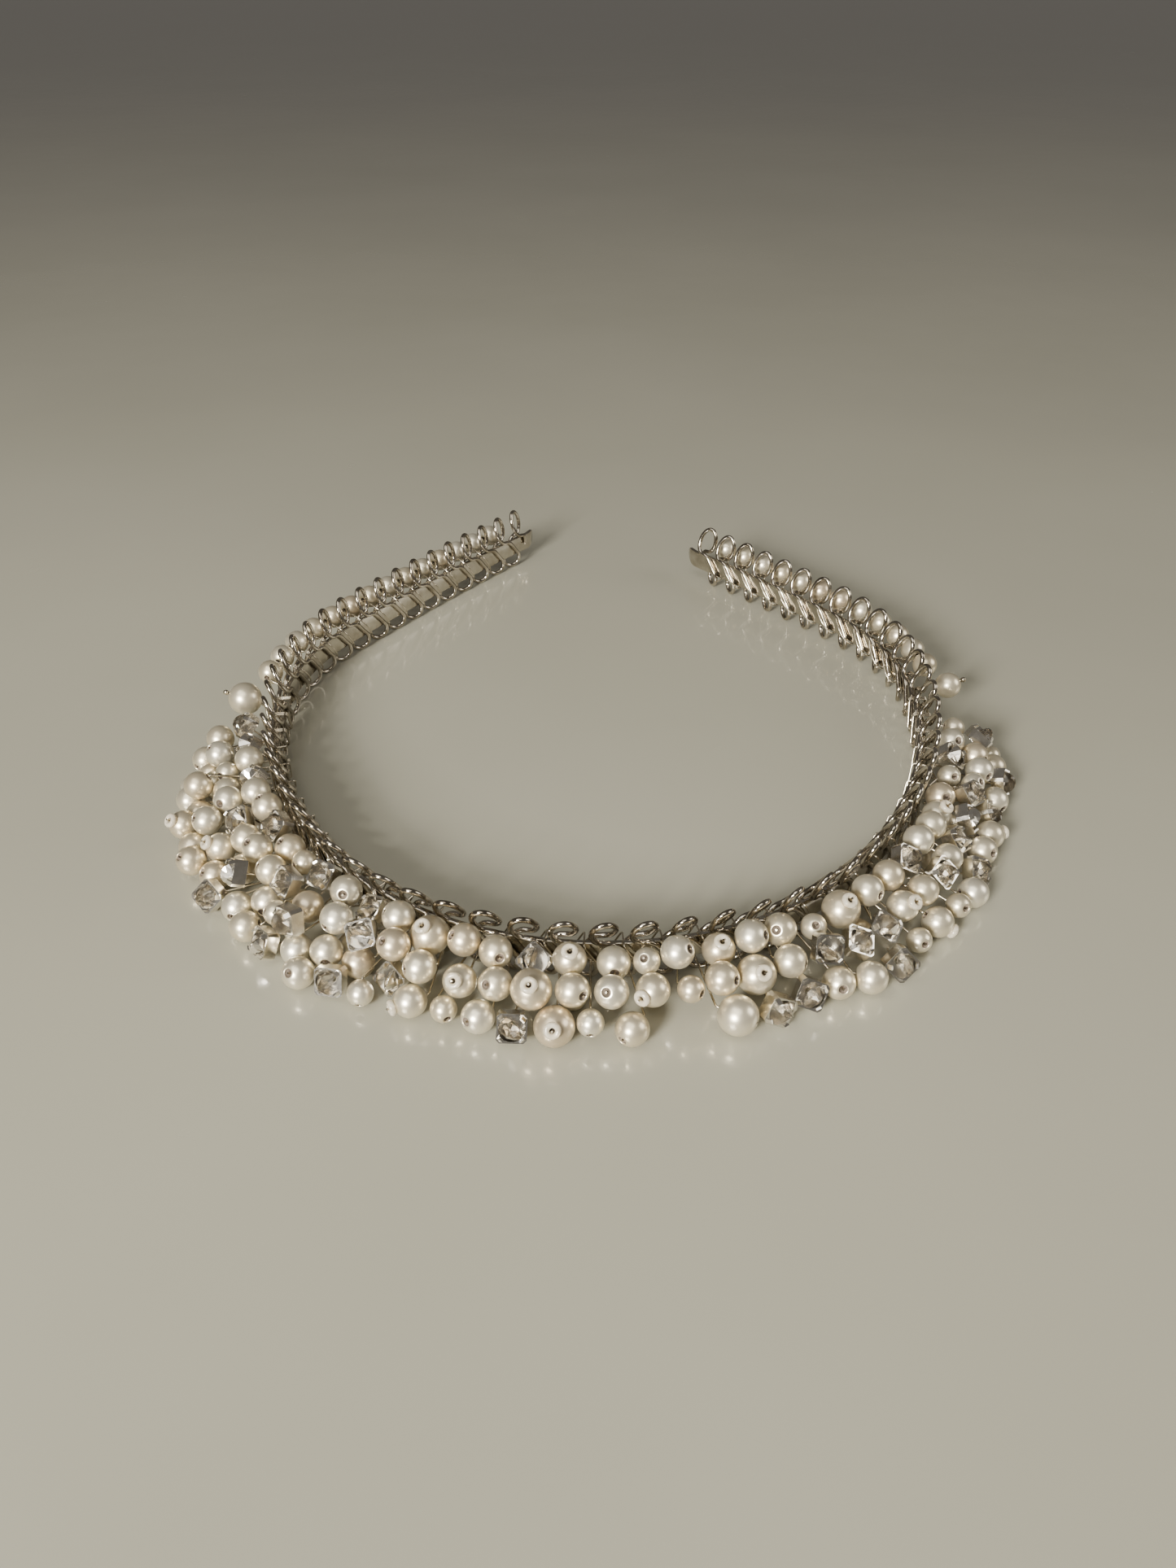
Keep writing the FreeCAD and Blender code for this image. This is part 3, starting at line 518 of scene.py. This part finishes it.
# ---------------------------------------------------------------- crystals and their cups
def stone_mesh():
    """A round stone facing +Z: table, star and kite facets, girdle, and a faceted foiled back."""
    def ring(count, radius, z, turn=0.0):
        return [Vector((radius * math.cos(turn + 2 * math.pi * i / count),
                        radius * math.sin(turn + 2 * math.pi * i / count), z)) for i in range(count)]
    eighth = math.pi / 8.0
    girdle_low, girdle_high = STONE_GIRDLE_Z
    rings = [ring(8, *STONE_TABLE), ring(8, *STONE_STAR, eighth),
             ring(16, STONE_GIRDLE, girdle_high), ring(16, STONE_GIRDLE, girdle_low),
             ring(8, *STONE_BACK, eighth), ring(1, 0.0, STONE_CULET_Z)]
    starts = [sum(len(r) for r in rings[:i]) for i in range(len(rings))]
    table, star, top_edge, low_edge, back, culet = starts
    verts = [v for r in rings for v in r]
    faces = [tuple(range(8))]
    slots = [0]
    for i in range(8):
        j, h = (i + 1) % 8, (i - 1) % 8
        a, b, c = 2 * i, (2 * i + 1) % 16, (2 * i + 2) % 16
        clear = [(table + i, star + i, table + j),
                 (table + i, star + h, top_edge + a), (table + i, top_edge + a, star + i),
                 (star + i, top_edge + a, top_edge + b), (star + i, top_edge + b, top_edge + c),
                 (top_edge + a, low_edge + a, low_edge + b, top_edge + b),
                 (top_edge + b, low_edge + b, low_edge + c, top_edge + c)]
        foiled = [(low_edge + a, back + i, low_edge + b), (low_edge + b, back + i, low_edge + c),
                  (low_edge + a, back + h, culet), (low_edge + a, culet, back + i)]
        faces += clear + foiled
        slots += [0] * len(clear) + [1] * len(foiled)
    return verts, faces, slots


def stone_frame(points):
    """Place and facing of a CAD stone: its table is the far side from its pointed back."""
    centre = sum(points, Vector((0, 0, 0))) / len(points)
    culet = max(points, key=lambda p: (p - centre).length)
    girdle = [p for p in points if p is not culet]
    axis = (sum(girdle, Vector((0, 0, 0))) / len(girdle) - culet).normalized()
    return culet - axis * STONE_CULET_Z, axis


def crystal_piece(name, node):
    own_verts, own_faces, own_slots = stone_mesh()
    verts, faces, slots = [], [], []
    for points, _ in loose_parts(node):
        centre, axis = stone_frame(points)
        spin = Matrix.Rotation(random.uniform(0.0, math.pi), 4, "Z")
        move = Matrix.Translation(centre) @ facing(axis) @ spin
        base = len(verts)
        verts += [move @ v for v in own_verts]
        faces += [tuple(base + i for i in face) for face in own_faces]
        slots += own_slots
    piece = piece_from(name, verts, faces, [GLASS, FOIL], slots, smooth=False)
    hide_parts(node)
    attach(piece, "front")
    return piece


FLAT_ANGLE = math.radians(2.0)
SHARP_ANGLE = math.radians(30.0)
SMOOTH_ANGLE = math.radians(40.0)


def bevelled_copy(name, node, material, width):
    """A CAD node's solids with their sharp edges broken."""
    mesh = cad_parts[node].data.copy()
    mesh.name = name
    mesh.materials.clear()
    mesh.materials.append(material)
    work = bmesh.new()
    work.from_mesh(mesh)
    bmesh.ops.remove_doubles(work, verts=work.verts, dist=WELD_DISTANCE)
    bmesh.ops.dissolve_limit(work, angle_limit=FLAT_ANGLE, verts=work.verts, edges=work.edges)
    sharp = [e for e in work.edges if len(e.link_faces) == 2 and e.calc_face_angle(0.0) > SHARP_ANGLE]
    bmesh.ops.bevel(work, geom=sharp, offset=width, segments=2, affect="EDGES", clamp_overlap=True)
    for face in work.faces:
        face.smooth = True
        face.material_index = 0
    for edge in work.edges:
        edge.smooth = len(edge.link_faces) == 2 and edge.calc_face_angle(0.0) < SMOOTH_ANGLE
    work.to_mesh(mesh)
    work.free()
    piece = bpy.data.objects.new(name, mesh)
    bpy.context.scene.collection.objects.link(piece)
    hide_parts(node)
    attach(piece, "front")
    return piece


# ---------------------------------------------------------------- seed beads
SEED_STEPS = 16
SEED_SIDES = 24


def seed_piece(name, node):
    """Small stopper beads: round-edged rings of glass, each seated on the pearl it holds."""
    seats = []
    for pearls in sorted(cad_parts):
        if pearls.startswith(("pearls_5mm", "pearls_6mm")):
            for centre, radius, _, axis in balls(pearls):
                reach = radius + SEED_HALF_THICKNESS - SEED_SINK
                seats += [(centre + axis * reach, axis), (centre - axis * reach, -axis)]
    outline = []
    for step in range(SEED_STEPS):
        angle = 2.0 * math.pi * step / SEED_STEPS
        middle = 0.5 * (SEED_RADIUS + SEED_HOLE_RADIUS)
        half = 0.5 * (SEED_RADIUS - SEED_HOLE_RADIUS)
        outline.append((middle + half * math.cos(angle), SEED_HALF_THICKNESS * math.sin(angle)))
    own_verts, own_faces = turned(outline, SEED_SIDES)
    verts, faces = [], []
    for points, _ in loose_parts(node):
        spot = middle_of(points)
        seat, axis = min(seats, key=lambda s: (s[0] - spot).length)
        base = len(verts)
        move = Matrix.Translation(seat) @ facing(axis)
        verts += [move @ v for v in own_verts]
        faces += [tuple(base + i for i in face) for face in own_faces]
    piece = piece_from(name, verts, faces, [SEED])
    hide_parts(node)
    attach(piece, "front")
    return piece


# ---------------------------------------------------------------- band
def bend_with_arm(piece):
    """Bake the piece's transform into its mesh."""
    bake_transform(piece)


STRIP_STEPS = 190
TIP_STEPS = 16
CORNER_STEPS = 4


def strip_section(half_height, half_thickness):
    """Corners of the strip's rounded section, as (across, up)."""
    edge = min(STRIP_EDGE_RADIUS, 0.9 * half_thickness, 0.9 * half_height)
    section = []
    for corner, (sx, sz) in enumerate(((1, 1), (-1, 1), (-1, -1), (1, -1))):
        for step in range(CORNER_STEPS):
            angle = 0.5 * math.pi * (corner + step / (CORNER_STEPS - 1))
            section.append((sx * (half_thickness - edge) + edge * math.cos(angle),
                            sz * (half_height - edge) + edge * math.sin(angle)))
    return section


def tip_half_height(share):
    """Half the tip's height at a share of its length."""
    for (low, from_height), (high, to_height) in zip(TIP_SHAPE, TIP_SHAPE[1:]):
        if share <= high:
            return from_height + (to_height - from_height) * (share - low) / (high - low)
    return TIP_SHAPE[-1][1]


def strip_rings(side):
    """Rings of points along one half of the strip, from the front's middle to its tip."""
    half_height = 0.5 * (STRIP_TOP - STRIP_BOTTOM)
    root_s = tip_s(side)
    rings = []
    for step in range(STRIP_STEPS + 1):
        s = root_s * step / STRIP_STEPS
        section = strip_section(half_height, 0.5 * STRIP_THICKNESS)
        rings.append([place(s, n, STRIP_MIDDLE + z) for n, z in section])
    forwards = along(root_s) * (1.0 if side == "right" else -1.0)
    out, root = outwards(root_s), place(root_s, 0, 0)
    for step in range(1, TIP_STEPS + 1):
        share = step / TIP_STEPS
        turn = TIP_CURL_TURN * share
        spot = root + forwards * (TIP_CURL_RADIUS * math.sin(turn))
        spot += out * (TIP_CURL_RADIUS * (1.0 - math.cos(turn)))
        spot.z = STRIP_MIDDLE + TIP_LIFT * share ** 2
        across = out * math.cos(turn) - forwards * math.sin(turn)
        narrow = tip_half_height(share)
        thin = 0.5 * STRIP_THICKNESS * (1.0 - TIP_THINNING * share ** 3)
        rings.append([spot + across * n + Vector((0, 0, z)) for n, z in strip_section(narrow, thin)])
    return rings


def band_half(side):
    rings = strip_rings(side)
    size = len(rings[0])
    verts = [v for ring in rings for v in ring]
    faces = [tuple(range(size)), tuple(reversed(range(len(verts) - size, len(verts))))]
    for j in range(len(rings) - 1):
        for i in range(size):
            k = (i + 1) % size
            faces.append((j * size + i, (j + 1) * size + i, (j + 1) * size + k, j * size + k))
    piece = piece_from("band_%s_half" % side, verts, faces, [SILVER_STRIP])
    fix_normals(piece)
    bend_with_arm(piece)
    return piece


def fix_normals(piece):
    work = bmesh.new()
    work.from_mesh(piece.data)
    bmesh.ops.recalc_face_normals(work, faces=work.faces)
    work.to_mesh(piece.data)
    work.free()


def ring_lean(s):
    """How far the upper rings lean outwards at s, in radians."""
    share = min(1.0, max(0.0, (abs(s) - 0.25 * CLUSTER_END) / (0.75 * CLUSTER_END)))
    share = share * share * (3.0 - 2.0 * share)
    return math.radians(FRONT_RING_LEAN + (UPPER_RING_LEAN - FRONT_RING_LEAN) * share)


def ring_points(middle_s, upper):
    half_width, half_height = UPPER_RING if upper else LOWER_RING
    centre_z = TOP_RUN_Z + half_height if upper else LOOP_WIRE_RADIUS + half_height
    twist = 1.0 if upper else LOWER_RING_TWIST
    way = 1.0 if upper else -1.0
    spread = 1.0 / math.cos(math.pi / RING_CORNERS)
    points = []
    for corner in range(RING_CORNERS):
        angle = way * (-0.5 * math.pi + (corner + 0.5) * 2.0 * math.pi / RING_CORNERS)
        t = half_width * spread * math.cos(angle)
        z = centre_z + half_height * spread * math.sin(angle)
        across = twist * math.cos(math.pi * corner / (RING_CORNERS - 1))
        n = -way * LOOP_WIRE_OFFSET * max(-1.0, min(1.0, across))
        if upper:
            n += (z - TOP_RUN_Z) * math.tan(ring_lean(middle_s))
        points.append(place(middle_s + t, n, z))
    return points


def loop_points(loop):
    """One pitch of the wire: upper ring, slanting down the outside, lower ring."""
    points = [place((loop - 0.25) * LOOP_PITCH, -LOOP_WIRE_OFFSET, TOP_RUN_Z)]
    points += ring_points(loop * LOOP_PITCH, True)
    points.append(place((loop + 0.25) * LOOP_PITCH, LOOP_WIRE_OFFSET, TOP_RUN_Z))
    return points + ring_points((loop + 0.5) * LOOP_PITCH, False)


def looped_wire_half(side):
    """The looped wire from the front's middle to one tip."""
    last = LAST_LOOP[side]
    join = place(-0.25 * LOOP_PITCH, -LOOP_WIRE_OFFSET, TOP_RUN_Z)
    route = []
    for loop in (range(0, last + 1) if side == "right" else range(last, 0)):
        route += loop_points(loop)
    if side == "right":
        del route[-RING_CORNERS:]
        route.append(place((last + 0.25) * LOOP_PITCH, LOOP_WIRE_OFFSET, STRIP_MIDDLE))
    else:
        route.insert(0, place((last - 0.25) * LOOP_PITCH, -LOOP_WIRE_OFFSET, STRIP_MIDDLE))
        route += [join, join + along(0.0) * LOOP_WIRE_RADIUS]
    piece = wire_piece("loop_wire_%s_half" % side, [route], LOOP_WIRE_RADIUS, SILVER_LOOPS,
                       LOOP_WIRE_SIDES, LOOP_WIRE_STEPS)
    bend_with_arm(piece)
    return piece


# ---------------------------------------------------------------- arms
def fine_wire_piece(name, route):
    piece = wire_piece(name + "_drawn", [route], FINE_WIRE_RADIUS, SILVER_FINE,
                       FINE_WIRE_SIDES, FINE_WIRE_STEPS)
    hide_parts(name)
    bend_with_arm(piece)


def stringing_wire(side):
    loops = ARM_PEARL_LOOPS[side]
    first = (loops[0] - 0.5) * LOOP_PITCH
    last = (loops[-1] + 0.5) * LOOP_PITCH
    shift = STRINGING_END_SHIFT
    low = ARM_PEARL_Z - STRINGING_END_DROP
    route = [place(first, STRINGING_END_N, low), place(first + shift, ARM_PEARL_N, ARM_PEARL_Z)]
    route += [place(loop * LOOP_PITCH, ARM_PEARL_N, ARM_PEARL_Z) for loop in loops]
    route += [place(last - shift, ARM_PEARL_N, ARM_PEARL_Z), place(last, STRINGING_END_N, low)]
    fine_wire_piece("stringing_wire_%s_arm" % side, route)


def tie_wire(side):
    """A turn round the band and the strung wire in each gap between the arm's pearls."""
    route = []
    for loop in ARM_PEARL_LOOPS[side][:-1]:
        gap = loop + 0.5
        through = gap == int(gap)
        top = gap * LOOP_PITCH
        bottom = top if through else top + 0.5 * LOOP_PITCH
        top_z = TIE_THROUGH_RING_Z if through else FINE_WIRE_TOP
        reach = ARM_PEARL_N + TIE_HOOK.y
        route += [place(top, -FINE_WIRE_N, top_z),
                  place(top - TIE_HOOK.x, reach, ARM_PEARL_Z + TIE_HOOK.z),
                  place(top + TIE_HOOK.x, reach, ARM_PEARL_Z - TIE_HOOK.z),
                  place(top + TIE_HOOK.x, FINE_WIRE_N, STRIP_TOP),
                  place(bottom, FINE_WIRE_N, FINE_WIRE_BOTTOM),
                  place(bottom, -FINE_WIRE_N, FINE_WIRE_BOTTOM)]
    fine_wire_piece("tie_wire_%s_arm" % side, route)


# ---------------------------------------------------------------- build
def build_band():
    halves = {side: (band_half(side), looped_wire_half(side)) for side in ("left", "right")}
    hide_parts("band_front", "band_left_arm")
    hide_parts("band_right_arm")
    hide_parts("loop_wire_front", "loop_wire_left_arm")
    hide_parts("loop_wire_right_arm")
    for side in ("left", "right"):
        stringing_wire(side)
        tie_wire(side)
        bend_with_arm(pearl_piece("strung_pearls_%s_arm" % side, "pearls_%s_arm" % side, None))


def build_cluster():
    for node in sorted(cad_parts):
        if node.startswith("pearls_") and not node.endswith("_arm"):
            pearl_piece("nacre_" + node, node, "front")
        elif node.startswith("crystals_"):
            crystal_piece("faceted_" + node, node)
        elif node.startswith("claw_cups_"):
            bevelled_copy("polished_" + node, node, SILVER_CUP, CUP_BEVEL)
    seed_piece("glass_seed_beads", "seed_beads")
    for side in ("left", "right"):
        pearl_piece("nacre_end_pearl_" + side, "end_pearl_" + side, side + "_end_pearl")


def finish_fine_wires():
    """The CAD's own stems, wraps and binding wires keep their shape and get their metal."""
    for node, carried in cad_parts.items():
        if node.startswith(("stems_", "binding_", "wrap_", "end_pearl_stem_")):
            for slot in carried.material_slots:
                slot.material = SILVER_FINE


TABLE_HALF = 6.0


def build_table():
    half = TABLE_HALF
    table = piece_from("table", [(-half, -half, 0), (half, -half, 0), (half, half, 0), (-half, half, 0)],
                       [(0, 1, 2, 3)], [table_top()], smooth=False)


# ---------------------------------------------------------------- camera and light
CAMERA_BACK = 197.4 * MM                 # in front of the oval's centre
CAMERA_SIDE = -2.3 * MM
CAMERA_HEIGHT = 127.5 * MM
CAMERA_PITCH = math.radians(36.0)
CAMERA_LENS = 27.03
CAMERA_CLIP = 0.01
ROOM_COLOUR = (0.62, 0.58, 0.52, 1.0)
ROOM_STRENGTH = 0.2


def add_camera():
    camera = bpy.data.cameras.new("camera")
    camera.lens = CAMERA_LENS
    camera.clip_start = CAMERA_CLIP
    holder = bpy.data.objects.new("camera", camera)
    holder.location = (OVAL_X + CAMERA_SIDE, OVAL_Y - CAMERA_BACK, CAMERA_HEIGHT)
    holder.rotation_euler = (0.5 * math.pi - CAMERA_PITCH, 0.0, 0.0)
    bpy.context.scene.collection.objects.link(holder)
    bpy.context.scene.camera = holder


def add_area(name, spot, size, power, colour):
    light = bpy.data.lights.new(name, "AREA")
    light.shape = "RECTANGLE"
    light.size, light.size_y = size
    light.energy = power
    light.color = colour
    holder = bpy.data.objects.new(name, light)
    holder.location = spot
    holder.rotation_euler = (-Vector(spot)).to_track_quat("-Z", "Y").to_euler()
    bpy.context.scene.collection.objects.link(holder)


def add_lights():
    """Soft studio light: name, place, size, power and colour of each area."""
    add_area("window", (-0.42, -0.8, 0.42), (0.24, 0.22), 22.0, (1.0, 0.96, 0.88))
    add_area("ceiling_bounce", (-0.35, -0.55, 1.3), (1.3, 0.8), 8.5, (1.0, 0.97, 0.89))
    add_area("right_wall", (0.95, -0.1, 0.5), (0.5, 0.5), 3.5, (1.0, 0.95, 0.86))
    world = bpy.data.worlds.new("room")
    world.use_nodes = True
    background = world.node_tree.nodes["Background"]
    background.inputs["Color"].default_value = ROOM_COLOUR
    background.inputs["Strength"].default_value = ROOM_STRENGTH
    bpy.context.scene.world = world


build_band()
build_cluster()
finish_fine_wires()
build_table()
add_camera()
add_lights()
